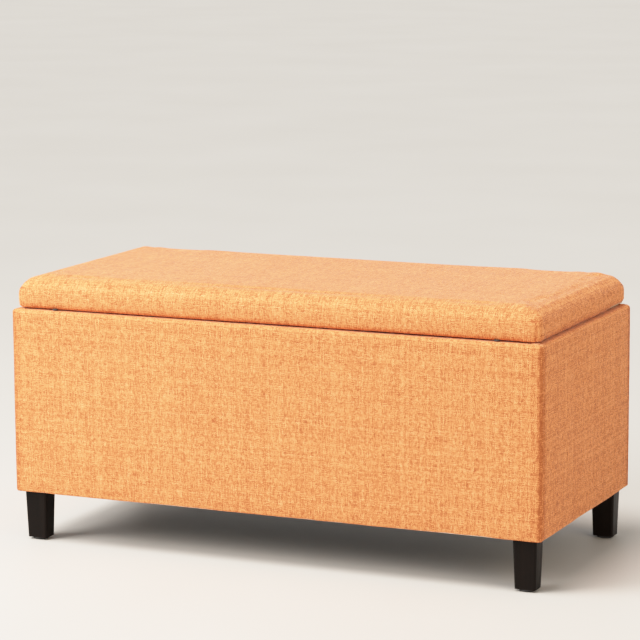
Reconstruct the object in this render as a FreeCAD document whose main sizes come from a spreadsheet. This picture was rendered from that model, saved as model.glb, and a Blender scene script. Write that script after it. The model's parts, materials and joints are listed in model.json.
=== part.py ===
# Upholstered storage bench with a padded lift-up lid, in millimetres.
# The origin is on the floor under the middle of the bench. +Z is up and the front faces -Y.
import FreeCAD, Part
import Sketcher
import math
import os

Vector = FreeCAD.Vector
doc = FreeCAD.newDocument("storage_bench")

# ---- driving dimensions -------------------------------------------------

drivingSizes = {
    # the upholstered box
    "benchWidth": 960,
    "benchDepth": 446,
    "bodyTop": 404,
    "boardThickness": 15,
    "paddingThickness": 5,
    "fabricThickness": 1,
    "cornerRadius": 8,
    "rimRadius": 6,
    "seamSetback": 10,
    "rimFlapDrop": 30,
    "hemWidth": 30,
    # base
    "railSize": 25,
    "blockSize": 70,
    "baseThickness": 6,
    # legs
    "legHeight": 86,
    "legTopWidth": 41,
    "legTopDepth": 35,
    "legTaper": 2.5,
    "legEdgeRadius": 4,
    "legInset": 12,
    "glideRadius": 14,
    "glideThickness": 4,
    "glideChamfer": 1.5,
    "glideNailRadius": 1.5,
    "glideNailLength": 16,
    "boltRadius": 3,
    "boltLength": 62,
    "boltInLeg": 36,
    "nutBarrelRadius": 4,
    "nutFlangeRadius": 8,
    "nutFlangeThickness": 1.5,
    # lid
    "lidInset": 6,
    "lidGap": 3,
    "lidTop": 460,
    "lidCornerRadius": 10,
    "lidTopRadius": 28,
    "lidHem": 45,
    "lidLiningInset": 20,
    "lidLiningBackInset": 40,
    "lidLiningThickness": 0.8,
    "dustInset": 12,
    "bumperRadius": 5,
    "bumperChamfer": 1,
    "bumperGap": 0.1,
    "bumperX": 400,
    "bumperSetback": 7,
    # butt hinges
    "hingeX": 330,
    "hingeLength": 60,
    "hingeLeafReach": 24.5,
    "hingeLeafThickness": 1.4,
    "lidLeafScrewInset": 5,
    "knuckleRadius": 3.2,
    "knuckleGap": 0.3,
    "pinRadius": 1.6,
    "pinHeadRadius": 2.6,
    "pinHeadThickness": 1.5,
    "pinBehindBack": 1,
    # gas struts
    "strutX": 442,
    "strutReach": 200,
    "strutFootLean": 11,
    "strutTopDip": 4,
    "ballRadius": 4,
    "neckRadius": 2.5,
    "socketRadius": 7,
    "socketWidth": 10,
    "socketShankRadius": 4,
    "socketShankLength": 18,
    "tubeRadius": 7.5,
    "tubeBoreRadius": 6.4,
    "tubeLength": 200,
    "tubeEndThickness": 6,
    "glandDepth": 12,
    "glandLip": 3,
    "glandChamfer": 1,
    "strutRodRadius": 3,
    "strutRodLength": 173,
    "pistonRadius": 6,
    "pistonThickness": 6,
    "bracketThickness": 2,
    "bracketLength": 30,
    "bracketHeight": 40,
    "bracketScrewSpread": 9,
    "bracketScrewRise": 13,
    "lidBracketClearance": 5,
    # clearances and screws
    "runningGap": 0.1,
    "strutGap": 0.3,
    "screwLength": 16,
    "screwRadius": 1.75,
    "screwHeadRadius": 3.2,
    "frameScrewLength": 45,
    "frameScrewRadius": 2.5,
    "frameScrewHeadRadius": 5,
}

sheet = doc.addObject("Spreadsheet::Sheet", "sizes")
for row, (alias, number) in enumerate(drivingSizes.items(), 1):
    sheet.set(f"A{row}", alias)
    sheet.set(f"B{row}", str(number))
    sheet.setAlias(f"B{row}", alias)
doc.recompute()

# Places worked out from the driving dimensions, as expressions.
halfWidth = "(sizes.benchWidth / 2)"
halfDepth = "(sizes.benchDepth / 2)"
padX = f"({halfWidth} - sizes.fabricThickness)"
padY = f"({halfDepth} - sizes.fabricThickness)"
boardX = f"({padX} - sizes.paddingThickness)"
boardY = f"({padY} - sizes.paddingThickness)"
innerX = f"({boardX} - sizes.boardThickness)"
innerY = f"({boardY} - sizes.boardThickness)"
cavityX = f"({innerX} - sizes.fabricThickness)"
cavityY = f"({innerY} - sizes.fabricThickness)"
hemTop = "(sizes.legHeight + 2 * sizes.fabricThickness)"
hemBottom = "(sizes.legHeight + sizes.fabricThickness)"
railTop = f"({hemTop} + sizes.railSize)"
baseTop = f"({railTop} + sizes.baseThickness)"
panelTop = "(sizes.bodyTop - sizes.fabricThickness)"
flapBottom = "(sizes.bodyTop - sizes.rimFlapDrop)"
lidX = f"({halfWidth} - sizes.lidInset)"
lidY = f"({halfDepth} - sizes.lidInset)"
lidBottom = "(sizes.bodyTop + sizes.lidGap)"
lidBoardBottom = f"({lidBottom} + sizes.fabricThickness)"
lidBoardTop = f"({lidBoardBottom} + sizes.boardThickness)"
legX = f"({halfWidth} - sizes.legInset - sizes.legTopWidth / 2)"
legY = f"({halfDepth} - sizes.legInset - sizes.legTopDepth / 2)"
pinY = f"({halfDepth} + sizes.pinBehindBack)"
pinZ = "(sizes.bodyTop + sizes.lidGap / 2)"
leafFront = f"({pinY} - sizes.hingeLeafReach)"
boxLeafScrewY = f"({innerY} + sizes.boardThickness / 2)"
lidLeafScrewY = f"({leafFront} + sizes.lidLeafScrewInset)"
lidFlangeInner = "(sizes.strutX + sizes.socketWidth / 2 + sizes.lidBracketClearance)"
lidFlangeOuter = f"({lidFlangeInner} + sizes.bracketThickness)"


def size(expression):
    """The number that an expression gives now, for places that no property can be bound to."""
    return float(sheet.evalExpression(expression))


# ---- ways of making pieces ----------------------------------------------

nodes = []


def keep(piece):
    """Marks a finished sub-part: its Label names its file."""
    nodes.append(piece)
    return piece


def block(name, x, y, z):
    """A box between bounds. Each bound is a pair of expressions, low and high."""
    box = doc.addObject("Part::Box", name)
    for side, letter, (low, high) in (("Length", "x", x), ("Width", "y", y), ("Height", "z", z)):
        box.setExpression(side, f"({high}) - ({low})")
        box.setExpression(f"Placement.Base.{letter}", f"{low}")
    return box


def across(half):
    """Bounds that lie evenly about zero."""
    return f"-{half}", half


def cut(name, base, *tools):
    result = doc.addObject("Part::Cut", name)
    result.Base = base
    result.Tool = tools[0] if len(tools) == 1 else group(f"{name}_tools", *tools)
    return result


def fuse(name, *pieces):
    result = doc.addObject("Part::MultiFuse", name)
    result.Shapes = pieces
    result.Refine = True
    return result


def common(name, first, second):
    result = doc.addObject("Part::Common", name)
    result.Base = first
    result.Tool = second
    return result


def group(name, *pieces):
    """Separate solids kept together in one sub-part."""
    result = doc.addObject("Part::Compound", name)
    result.Links = pieces
    return result


def mirrored(name, source, normal):
    result = doc.addObject("Part::Mirroring", name)
    result.Source = source
    result.Normal = normal
    return result


def copies(name, master, placements):
    """The same piece in several places, as separate solids."""
    links = []
    for number, placement in enumerate(placements, 1):
        link = doc.addObject("App::Link", f"{name}_{number}")
        link.LinkedObject = master
        link.LinkPlacement = placement
        links.append(link)
    return group(name, *links)


def originPlane(body, role):
    return next(plane for plane in body.Origin.OriginFeatures if plane.Role == role)


def sketchOn(body, name, role, height="0"):
    sketch = body.newObject("Sketcher::SketchObject", name)
    sketch.AttachmentSupport = [(originPlane(body, role), "")]
    sketch.MapMode = "FlatFace"
    sketch.setExpression("AttachmentOffset.Base.z", height)
    return sketch


def constrain(sketch, kind, *places, expression):
    """A dimension in a sketch, bound to an expression."""
    index = sketch.addConstraint(Sketcher.Constraint(kind, *places, size(expression)))
    sketch.setExpression(f"Constraints[{index}]", expression)


def drawRectangle(sketch, width, depth):
    """A rectangle centred on the sketch's origin."""
    x = size(width) / 2
    y = size(depth) / 2
    corners = [Vector(-x, -y, 0), Vector(x, -y, 0), Vector(x, y, 0), Vector(-x, y, 0)]
    for index in range(4):
        sketch.addGeometry(Part.LineSegment(corners[index], corners[(index + 1) % 4]), False)
    for index in range(4):
        sketch.addConstraint(Sketcher.Constraint("Coincident", index, 2, (index + 1) % 4, 1))
        sketch.addConstraint(Sketcher.Constraint("Horizontal" if index % 2 == 0 else "Vertical", index))
    sketch.addConstraint(Sketcher.Constraint("Symmetric", 0, 1, 2, 1, -1, 1))
    constrain(sketch, "DistanceX", 0, 1, 0, 2, expression=width)
    constrain(sketch, "DistanceY", 1, 1, 1, 2, expression=depth)


def edgeNames(shape, wanted):
    return [f"Edge{index}" for index, edge in enumerate(shape.Edges, 1) if wanted(edge)]


def isUpright(edge):
    return abs(edge.tangentAt(edge.FirstParameter).z) > 0.5


def fillet(body, name, base, wanted, radius):
    rounding = body.newObject("PartDesign::Fillet", name)
    rounding.Base = (base, edgeNames(base.Shape, wanted))
    rounding.setExpression("Radius", radius)
    body.Tip = rounding
    doc.recompute()
    return rounding


def slab(name, halfX, halfY, z, cornerRadius, topRadius=None):
    """A padded block with round upright corners and, where given, a round top edge."""
    body = doc.addObject("PartDesign::Body", name)
    outline = sketchOn(body, f"{name}_outline", "XY_Plane", z[0])
    drawRectangle(outline, f"2 * {halfX}", f"2 * {halfY}")
    pad = body.newObject("PartDesign::Pad", f"{name}_pad")
    pad.Profile = outline
    pad.setExpression("Length", f"{z[1]} - {z[0]}")
    doc.recompute()
    rounded = fillet(body, f"{name}_corners", pad, isUpright, cornerRadius)
    if topRadius:
        top = size(z[1])
        fillet(body, f"{name}_rim", rounded, lambda edge: edge.BoundBox.ZMin > top - 0.01, topRadius)
    return body


def turned(name, profile):
    """A piece turned about its own Z axis. The profile's points are (radius, z) expressions."""
    body = doc.addObject("PartDesign::Body", name)
    sketch = sketchOn(body, f"{name}_profile", "XZ_Plane")
    points = [Vector(size(radius), size(z), 0) for radius, z in profile]
    count = len(points)
    for index in range(count):
        sketch.addGeometry(Part.LineSegment(points[index], points[(index + 1) % count]), False)
    for index in range(count):
        sketch.addConstraint(Sketcher.Constraint("Coincident", index, 2, (index + 1) % count, 1))
    for index, (radius, z) in enumerate(profile):
        if points[index].x == 0:
            sketch.addConstraint(Sketcher.Constraint("PointOnObject", index, 1, -2))
        else:
            constrain(sketch, "DistanceX", -1, 1, index, 1, expression=radius)
        if points[index].y == 0:
            sketch.addConstraint(Sketcher.Constraint("PointOnObject", index, 1, -1))
        else:
            constrain(sketch, "DistanceY", -1, 1, index, 1, expression=z)
    turn = body.newObject("PartDesign::Revolution", f"{name}_turn")
    turn.Profile = sketch
    turn.ReferenceAxis = (sketch, ["V_Axis"])
    turn.Angle = 360
    return body


def place(x, y, z, direction=Vector(0, 0, 1)):
    """A placement at x, y, z that points a piece's own Z axis in a direction."""
    return FreeCAD.Placement(Vector(x, y, z), FreeCAD.Rotation(Vector(0, 0, 1), direction))


up = Vector(0, 0, 1)
down = Vector(0, 0, -1)
right = Vector(1, 0, 0)
left = Vector(-1, 0, 0)


def turnedAlongX(name, profile, x, y, z):
    """A turned piece whose axis lies along X. x, y and z are expressions."""
    piece = turned(name, profile)
    piece.Placement = place(0, 0, 0, right)
    for letter, expression in (("x", x), ("y", y), ("z", z)):
        piece.setExpression(f"Placement.Base.{letter}", expression)
    return piece


# ---- screws ------------------------------------------------------------

def screwProfile(length, radius, headRadius, gap="0"):
    """A countersunk wood screw, its head's face at z 0 and its tip below."""
    head = f"{headRadius} - {radius}"
    return [
        ("0", "0"),
        (f"{headRadius} + {gap}", "0"),
        (f"{radius} + {gap}", f"-({head})"),
        (f"{radius} + {gap}", f"-({length} - 2 * {radius})"),
        ("0", f"-{length} - {gap}"),
    ]


smallScrew = ("sizes.screwLength", "sizes.screwRadius", "sizes.screwHeadRadius")
frameScrew = ("sizes.frameScrewLength", "sizes.frameScrewRadius", "sizes.frameScrewHeadRadius")
screwMaster = turned("screw_master", screwProfile(*smallScrew))
screwHole = turned("screw_hole", screwProfile(*smallScrew, "sizes.runningGap"))
frameScrewMaster = turned("frame_screw_master", screwProfile(*frameScrew))
frameScrewHole = turned("frame_screw_hole", screwProfile(*frameScrew, "sizes.runningGap"))

# Three screws in a row through each hinge leaf.
leafScrewXs = [
    side * size("sizes.hingeX") + step * size("sizes.hingeLength") / 3
    for side in (-1, 1)
    for step in (-1, 0, 1)
]
boxLeafScrewPlaces = [
    place(x, size(boxLeafScrewY), size("sizes.bodyTop + sizes.hingeLeafThickness"), up) for x in leafScrewXs
]
lidLeafScrewPlaces = [
    place(x, size(lidLeafScrewY), size(f"{lidBottom} - sizes.hingeLeafThickness"), down) for x in leafScrewXs
]

# The strut's two ball centres, from its reach and lean about the hinge pin.
reach = size("sizes.strutReach")
footLean = math.radians(size("sizes.strutFootLean"))
topDip = math.radians(size("sizes.strutTopDip"))
footY = size(pinY) - reach * math.sin(footLean)
footZ = size(pinZ) - reach * math.cos(footLean)
headY = size(pinY) - reach * math.cos(topDip)
headZ = size(pinZ) - reach * math.sin(topDip)
closedLength = math.hypot(footY - headY, footZ - headZ)

# Three screws in a triangle through each strut bracket.
screwSpread = size("sizes.bracketScrewSpread")
screwRise = size("sizes.bracketScrewRise")
triangle = [(-screwSpread, screwRise), (screwSpread, screwRise), (0, -screwRise)]
boxPlateX = size(f"{cavityX} - sizes.bracketThickness")
lidPlateBottom = size(f"{lidBottom} - sizes.lidLiningThickness - sizes.bracketThickness")
lidPlateX = size(f"{lidFlangeOuter} - sizes.bracketLength / 2")
boxBracketScrewPlaces = [
    place(side * boxPlateX, footY + along, footZ + rise, left if side > 0 else right)
    for side in (-1, 1)
    for along, rise in triangle
]
lidBracketScrewPlaces = [
    place(side * (lidPlateX - along), headY + rise, lidPlateBottom, down)
    for side in (-1, 1)
    for along, rise in triangle
]

# Frame screws go through the front and back panels into the ends of the side panels.
frameScrewX = size(f"{innerX} + sizes.boardThickness / 2")
frameScrewHeights = [
    size(f"{hemTop} + {fraction} * ({panelTop} - {hemTop})") for fraction in (0.12, 0.5, 0.88)
]
frameScrewPlaces = [
    place(sideX * frameScrewX, sideY * size(boardY), height, Vector(0, sideY, 0))
    for sideY in (-1, 1)
    for sideX in (-1, 1)
    for height in frameScrewHeights
]

boxLeafHoles = copies("box_leaf_holes", screwHole, boxLeafScrewPlaces)
lidLeafHoles = copies("lid_leaf_holes", screwHole, lidLeafScrewPlaces)
boxBracketHoles = copies("box_bracket_holes", screwHole, boxBracketScrewPlaces)
lidBracketHoles = copies("lid_bracket_holes", screwHole, lidBracketScrewPlaces)
frameHoles = copies("frame_holes", frameScrewHole, frameScrewPlaces)

keep(copies("box_hinge_screws", screwMaster, boxLeafScrewPlaces))
keep(copies("lid_hinge_screws", screwMaster, lidLeafScrewPlaces))
keep(copies("box_bracket_screws", screwMaster, boxBracketScrewPlaces))
keep(copies("lid_bracket_screws", screwMaster, lidBracketScrewPlaces))
keep(copies("frame_screws", frameScrewMaster, frameScrewPlaces))

# ---- wooden box --------------------------------------------------------

panelHeight = (hemTop, panelTop)
frontPanel = block("front_panel_board", across(boardX), (f"-{boardY}", f"-{innerY}"), panelHeight)
backPanel = block("back_panel_board", across(boardX), (innerY, boardY), panelHeight)
rightPanel = block("right_panel_board", (innerX, boardX), across(innerY), panelHeight)
leftPanel = block("left_panel_board", (f"-{boardX}", f"-{innerX}"), across(innerY), panelHeight)
keep(cut("front_panel", frontPanel, frameHoles))
keep(cut("back_panel", backPanel, frameHoles, boxLeafHoles))
keep(cut("right_panel", rightPanel, frameHoles, boxBracketHoles))
keep(cut("left_panel", leftPanel, frameHoles, boxBracketHoles))

railHeight = (hemTop, railTop)
blockInnerX = f"({innerX} - sizes.blockSize)"
blockInnerY = f"({innerY} - sizes.blockSize)"
railInnerX = f"({innerX} - sizes.railSize)"
railInnerY = f"({innerY} - sizes.railSize)"
keep(block("front_rail", across(blockInnerX), (f"-{innerY}", f"-{railInnerY}"), railHeight))
keep(block("back_rail", across(blockInnerX), (railInnerY, innerY), railHeight))
keep(block("right_rail", (railInnerX, innerX), across(blockInnerY), railHeight))
keep(block("left_rail", (f"-{innerX}", f"-{railInnerX}"), across(blockInnerY), railHeight))
keep(block("centre_rail", across("(sizes.railSize / 2)"), across(railInnerY), railHeight))
keep(block("base_board", across(innerX), across(innerY), (railTop, baseTop)))

# ---- legs and what holds them ------------------------------------------

legPlaces = [
    place(sideX * size(legX), sideY * size(legY), 0) for sideX in (-1, 1) for sideY in (-1, 1)
]

boltTop = "(sizes.legHeight + sizes.boltLength - sizes.boltInLeg)"
legBolt = turned("leg_bolt_master", [
    ("0", "sizes.legHeight - sizes.boltInLeg"),
    ("sizes.boltRadius", "sizes.legHeight - sizes.boltInLeg"),
    ("sizes.boltRadius", boltTop),
    ("0", boltTop),
])
keep(copies("leg_bolts", legBolt, legPlaces))

nutBore = "(sizes.boltRadius + sizes.runningGap)"
boltHole = doc.addObject("Part::Cylinder", "bolt_hole")
boltHole.setExpression("Radius", nutBore)
boltHole.setExpression("Height", railTop)
boltHoles = copies("bolt_holes", boltHole, legPlaces)
flangeBottom = f"({railTop} - sizes.nutFlangeThickness)"
teeNut = turned("tee_nut_master", [
    (nutBore, hemTop),
    ("sizes.nutBarrelRadius", hemTop),
    ("sizes.nutBarrelRadius", flangeBottom),
    ("sizes.nutFlangeRadius", flangeBottom),
    ("sizes.nutFlangeRadius", railTop),
    (nutBore, railTop),
])
teeNutHole = turned("tee_nut_hole", [
    ("0", hemTop),
    ("sizes.nutBarrelRadius + sizes.runningGap", hemTop),
    ("sizes.nutBarrelRadius + sizes.runningGap", flangeBottom),
    ("sizes.nutFlangeRadius + sizes.runningGap", flangeBottom),
    ("sizes.nutFlangeRadius + sizes.runningGap", railTop),
    ("0", railTop),
])
keep(copies("leg_tee_nuts", teeNut, legPlaces))

blocks = []
for sideX, boundsX in (("left", (f"-{innerX}", f"-{blockInnerX}")), ("right", (blockInnerX, innerX))):
    for sideY, boundsY in (("front", (f"-{innerY}", f"-{blockInnerY}")), ("rear", (blockInnerY, innerY))):
        blocks.append(block(f"{sideY}_{sideX}_block", boundsX, boundsY, railHeight))
teeNutHoles = copies("tee_nut_holes", teeNutHole, legPlaces)
keep(cut("corner_blocks", group("corner_block_boards", *blocks), teeNutHoles))


def boredSketch(body, name, height, radius):
    sketch = sketchOn(body, name, "XY_Plane", height)
    sketch.addGeometry(Part.Circle(Vector(0, 0, 0), Vector(0, 0, 1), size(radius)), False)
    sketch.addConstraint(Sketcher.Constraint("Coincident", 0, 3, -1, 1))
    constrain(sketch, "Radius", 0, expression=radius)
    return sketch


def makeLeg(name, sideX, sideY):
    """A four-sided leg that tapers to the floor, bored for its bolt above and its glide's nail below."""
    leg = doc.addObject("PartDesign::Body", name)
    foot = sketchOn(leg, f"{name}_foot", "XY_Plane", "sizes.glideThickness")
    drawRectangle(foot, "sizes.legTopWidth - 2 * sizes.legTaper", "sizes.legTopDepth - 2 * sizes.legTaper")
    taper = leg.newObject("PartDesign::Pad", f"{name}_taper")
    taper.Profile = foot
    woodHeight = "(sizes.legHeight - sizes.glideThickness)"
    taper.setExpression("Length", woodHeight)
    taper.setExpression("TaperAngle", f"atan(sizes.legTaper / {woodHeight})")
    doc.recompute()
    fillet(leg, f"{name}_edges", taper, isUpright, "sizes.legEdgeRadius")
    bores = (
        ("bolt_bore", "sizes.legHeight", nutBore, "sizes.boltInLeg", False),
        ("nail_bore", "sizes.glideThickness", "sizes.glideNailRadius + sizes.runningGap",
         "sizes.glideNailLength", True),
    )
    for bore, height, radius, depth, upward in bores:
        pocket = leg.newObject("PartDesign::Pocket", f"{name}_{bore}")
        pocket.Profile = boredSketch(leg, f"{name}_{bore}_circle", height, radius)
        pocket.setExpression("Length", f"{depth} + sizes.runningGap")
        pocket.Reversed = upward
        leg.Tip = pocket
    leg.setExpression("Placement.Base.x", f"{sideX} * {legX}")
    leg.setExpression("Placement.Base.y", f"{sideY} * {legY}")
    return leg


for name, sideX, sideY in (
    ("front_left_leg", -1, -1),
    ("front_right_leg", 1, -1),
    ("rear_left_leg", -1, 1),
    ("rear_right_leg", 1, 1),
):
    keep(makeLeg(name, sideX, sideY))

glide = turned("glide_master", [
    ("0", "0"),
    ("sizes.glideRadius - sizes.glideChamfer", "0"),
    ("sizes.glideRadius", "sizes.glideChamfer"),
    ("sizes.glideRadius", "sizes.glideThickness"),
    ("sizes.glideNailRadius", "sizes.glideThickness"),
    ("sizes.glideNailRadius", "sizes.glideThickness + sizes.glideNailLength - 2 * sizes.glideNailRadius"),
    ("0", "sizes.glideThickness + sizes.glideNailLength"),
])
keep(copies("leg_glides", glide, legPlaces))

# ---- padding and covers of the box -------------------------------------

fullHeight = ("0", "sizes.lidTop")
paddedBlock = slab("padded_block", padX, padY, (hemTop, panelTop),
                   "sizes.cornerRadius - sizes.fabricThickness", "sizes.rimRadius - sizes.fabricThickness")
woodBlock = block("wood_block", across(boardX), across(boardY), (hemTop, panelTop))
paddingRing = cut("padding_ring", paddedBlock, woodBlock)
frontZone = block("front_padding_zone", across(halfWidth), (f"-{halfDepth}", f"-{boardY}"), fullHeight)
backZone = mirrored("back_padding_zone", frontZone, Vector(0, 1, 0))
rightZone = block("right_padding_zone", ("0", halfWidth), across(boardY), fullHeight)
keep(common("front_padding", paddingRing, frontZone))
keep(common("back_padding", paddingRing, backZone))
rightPadding = keep(common("right_padding", paddingRing, rightZone))
keep(mirrored("left_padding", rightPadding, Vector(1, 0, 0)))

# The cover is one skin: over the padding, over the rim, down inside it, and turned under the base.
coverBlock = slab("cover_block", halfWidth, halfDepth, (hemBottom, "sizes.bodyTop"),
                  "sizes.cornerRadius", "sizes.rimRadius")
hemX = f"({boardX} - sizes.hemWidth)"
hemY = f"({boardY} - sizes.hemWidth)"
coverSkin = cut(
    "cover_skin",
    coverBlock,
    paddedBlock,
    block("cover_mouth", across(cavityX), across(cavityY), (panelTop, "sizes.bodyTop")),
    block("hem_mouth", across(hemX), across(hemY), (hemBottom, hemTop)),
)
flapRing = cut(
    "flap_ring",
    block("flap_block", across(innerX), across(innerY), (flapBottom, panelTop)),
    block("flap_mouth", across(cavityX), across(cavityY), (flapBottom, panelTop)),
)
coverWithFlap = fuse("cover_with_flap", coverSkin, flapRing)
coverSleeve = cut("cover_sleeve", coverWithFlap, boxLeafHoles, boltHoles)

# The front and back covers wrap round the corners, and their seams lie on the ends of the box.
seamY = f"({halfDepth} - sizes.seamSetback)"
frontCoverZone = fuse(
    "front_cover_zone",
    block("front_wrap_zone", across(halfWidth), (f"-{halfDepth}", f"-{seamY}"), fullHeight),
    block("front_flap_zone", across(cavityX), (f"-{seamY}", f"-{cavityY}"), (flapBottom, "sizes.bodyTop")),
    block("front_hem_zone", across(hemX), (f"-{seamY}", f"-{hemY}"), (hemBottom, hemTop)),
)
backCoverZone = mirrored("back_cover_zone", frontCoverZone, Vector(0, 1, 0))
keep(common("front_cover", coverSleeve, frontCoverZone))
keep(common("back_cover", coverSleeve, backCoverZone))
endCovers = cut("end_covers", coverSleeve, frontCoverZone, backCoverZone)
rightHalf = block("right_half", ("0", halfWidth), across(halfDepth), fullHeight)
rightCover = keep(common("right_cover", endCovers, rightHalf))
keep(mirrored("left_cover", rightCover, Vector(1, 0, 0)))

keep(cut(
    "box_lining",
    block("lining_block", across(innerX), across(innerY), (baseTop, flapBottom)),
    block(
        "lining_hollow",
        across(cavityX),
        across(cavityY),
        (f"{baseTop} + sizes.fabricThickness", flapBottom),
    ),
    boxBracketHoles,
))
dustSheet = block(
    "dust_cover_sheet",
    across(f"({boardX} - sizes.dustInset)"),
    across(f"({boardY} - sizes.dustInset)"),
    ("sizes.legHeight", hemBottom),
)
keep(cut("dust_cover", dustSheet, boltHoles))

# ---- lid ---------------------------------------------------------------


def lidBlock(name, skin):
    """The lid's rounded block, a skin's thickness inside its outer faces."""
    halfX = f"({lidX} - {skin})"
    halfY = f"({lidY} - {skin})"
    bounds = (f"({lidBottom} + {skin})", f"(sizes.lidTop - {skin})")
    cornered = slab(f"{name}_corners", halfX, halfY, bounds, f"sizes.lidCornerRadius - {skin}")
    crowned = doc.addObject("PartDesign::Body", f"{name}_crown")
    outline = sketchOn(crowned, f"{name}_crown_outline", "XY_Plane", bounds[0])
    drawRectangle(outline, f"2 * {halfX}", f"2 * {halfY}")
    pad = crowned.newObject("PartDesign::Pad", f"{name}_crown_pad")
    pad.Profile = outline
    pad.setExpression("Length", f"{bounds[1]} - {bounds[0]}")
    doc.recompute()
    top = size(bounds[1])
    fillet(crowned, f"{name}_crown_edges", pad, lambda edge: edge.BoundBox.ZMin > top - 0.01,
           f"sizes.lidTopRadius - {skin}")
    return common(name, cornered, crowned)


lidOuter = lidBlock("lid_outer_block", "0")
lidPad = lidBlock("lid_pad_block", "sizes.fabricThickness")
lidFoamX = f"({lidX} - sizes.fabricThickness - sizes.paddingThickness)"
lidFoamY = f"({lidY} - sizes.fabricThickness - sizes.paddingThickness)"
lidWood = block("lid_wood", across(lidFoamX), across(lidFoamY), (lidBoardBottom, lidBoardTop))
keep(cut("lid_board", lidWood, lidLeafHoles, lidBracketHoles))
keep(cut("lid_foam", lidPad, lidWood))
keep(cut(
    "lid_cover",
    lidOuter,
    lidPad,
    block("lid_hem_mouth", across(f"({lidX} - sizes.lidHem)"), across(f"({lidY} - sizes.lidHem)"),
          (lidBottom, lidBoardBottom)),
    lidLeafHoles,
    lidBracketHoles,
))
liningBounds = (f"{lidBottom} - sizes.lidLiningThickness", lidBottom)
keep(cut(
    "lid_lining",
    block("lid_lining_sheet", across(f"({lidX} - sizes.lidLiningInset)"),
          (f"-({lidY} - sizes.lidLiningInset)", f"{lidY} - sizes.lidLiningBackInset"), liningBounds),
    lidBracketHoles,
))
bumper = turned("bumper_master", [
    ("0", "sizes.bodyTop + sizes.bumperGap"),
    ("sizes.bumperRadius - sizes.bumperChamfer", "sizes.bodyTop + sizes.bumperGap"),
    ("sizes.bumperRadius", "sizes.bodyTop + sizes.bumperGap + sizes.bumperChamfer"),
    ("sizes.bumperRadius", lidBottom),
    ("0", lidBottom),
])
bumperY = size(f"-({lidY} - sizes.bumperSetback)")
bumperX = size("sizes.bumperX")
keep(copies("lid_bumpers", bumper, [place(-bumperX, bumperY, 0), place(bumperX, bumperY, 0)]))

# ---- butt hinges -------------------------------------------------------

knuckleFront = f"({pinY} - sizes.knuckleRadius - sizes.knuckleGap)"
knuckleLength = "(sizes.hingeLength / 5)"
boxLeafBounds = ("sizes.bodyTop", "sizes.bodyTop + sizes.hingeLeafThickness")
lidLeafBounds = (f"{lidBottom} - sizes.hingeLeafThickness", lidBottom)


def cylinderAlongX(name, x, y, z, radius):
    """A plain cylinder along X between the bounds x, centred on y and z."""
    barrel = doc.addObject("Part::Cylinder", name)
    barrel.Placement = place(0, 0, 0, right)
    barrel.setExpression("Radius", radius)
    barrel.setExpression("Height", f"({x[1]}) - ({x[0]})")
    for letter, expression in (("x", x[0]), ("y", y), ("z", z)):
        barrel.setExpression(f"Placement.Base.{letter}", expression)
    return barrel


def hingeLeaf(name, bounds, knuckles, holes, bore):
    """One leaf of the right hinge: its plate, and the knuckles with these numbers out of five."""
    start = "(sizes.hingeX - sizes.hingeLength / 2)"
    plateX = (start, f"{start} + sizes.hingeLength")
    pieces = [block(f"{name}_plate", plateX, (leafFront, knuckleFront), bounds)]
    for number in knuckles:
        low = f"{start} + {number} * {knuckleLength}"
        high = f"{low} + {knuckleLength}"
        if number > 0:
            low = f"{low} + sizes.knuckleGap / 2"
        if number < 4:
            high = f"{high} - sizes.knuckleGap / 2"
        pieces.append(block(f"{name}_tab_{number}", (low, high), (knuckleFront, pinY), bounds))
        knuckle = cylinderAlongX(f"{name}_knuckle_{number}", (low, high), pinY, pinZ, "sizes.knuckleRadius")
        pieces.append(knuckle)
    boreTool = cylinderAlongX(f"{name}_bore", plateX, pinY, pinZ, bore)
    return cut(name, fuse(f"{name}_blank", *pieces), boreTool, holes)


boxLeaf = hingeLeaf("right_hinge_box_leaf", boxLeafBounds, (0, 2, 4), boxLeafHoles,
                    "sizes.pinRadius + sizes.runningGap")
lidLeaf = hingeLeaf("right_hinge_lid_leaf", lidLeafBounds, (1, 3), lidLeafHoles,
                    "sizes.pinRadius + sizes.runningGap")
keep(boxLeaf)
keep(lidLeaf)
keep(mirrored("left_hinge_box_leaf", boxLeaf, Vector(1, 0, 0)))
keep(mirrored("left_hinge_lid_leaf", lidLeaf, Vector(1, 0, 0)))

pinEnd = "(sizes.hingeLength / 2)"
pinHeadEnd = f"({pinEnd} + sizes.pinHeadThickness)"
rightPin = turnedAlongX("right_hinge_pin", [
    ("0", f"-{pinHeadEnd}"),
    ("sizes.pinHeadRadius", f"-{pinHeadEnd}"),
    ("sizes.pinHeadRadius", f"-{pinEnd}"),
    ("sizes.pinRadius", f"-{pinEnd}"),
    ("sizes.pinRadius", pinEnd),
    ("sizes.pinHeadRadius", pinEnd),
    ("sizes.pinHeadRadius", pinHeadEnd),
    ("0", pinHeadEnd),
], "sizes.hingeX", pinY, pinZ)
keep(group("hinge_pins", rightPin, mirrored("left_hinge_pin", rightPin, Vector(1, 0, 0))))

# ---- gas struts --------------------------------------------------------
# Both balls are one reach from the hinge pin, so the strut turns half as far as the lid.

strutLean = math.degrees(math.atan2(footY - headY, headZ - footZ))
alongStrut = FreeCAD.Rotation(Vector(1, 0, 0), strutLean)
backAlongStrut = FreeCAD.Rotation(Vector(1, 0, 0), strutLean + 180)
strutX = size("sizes.strutX")
footPlace = FreeCAD.Placement(Vector(strutX, footY, footZ), alongStrut)
headPlace = FreeCAD.Placement(Vector(strutX, headY, headZ), backAlongStrut)


def keepBothSides(name, piece):
    """Keeps a right-hand piece, and its mirror image on the left."""
    piece.Label = f"right_{name}"
    keep(piece)
    keep(mirrored(f"left_{name}", piece, Vector(1, 0, 0)))


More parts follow.
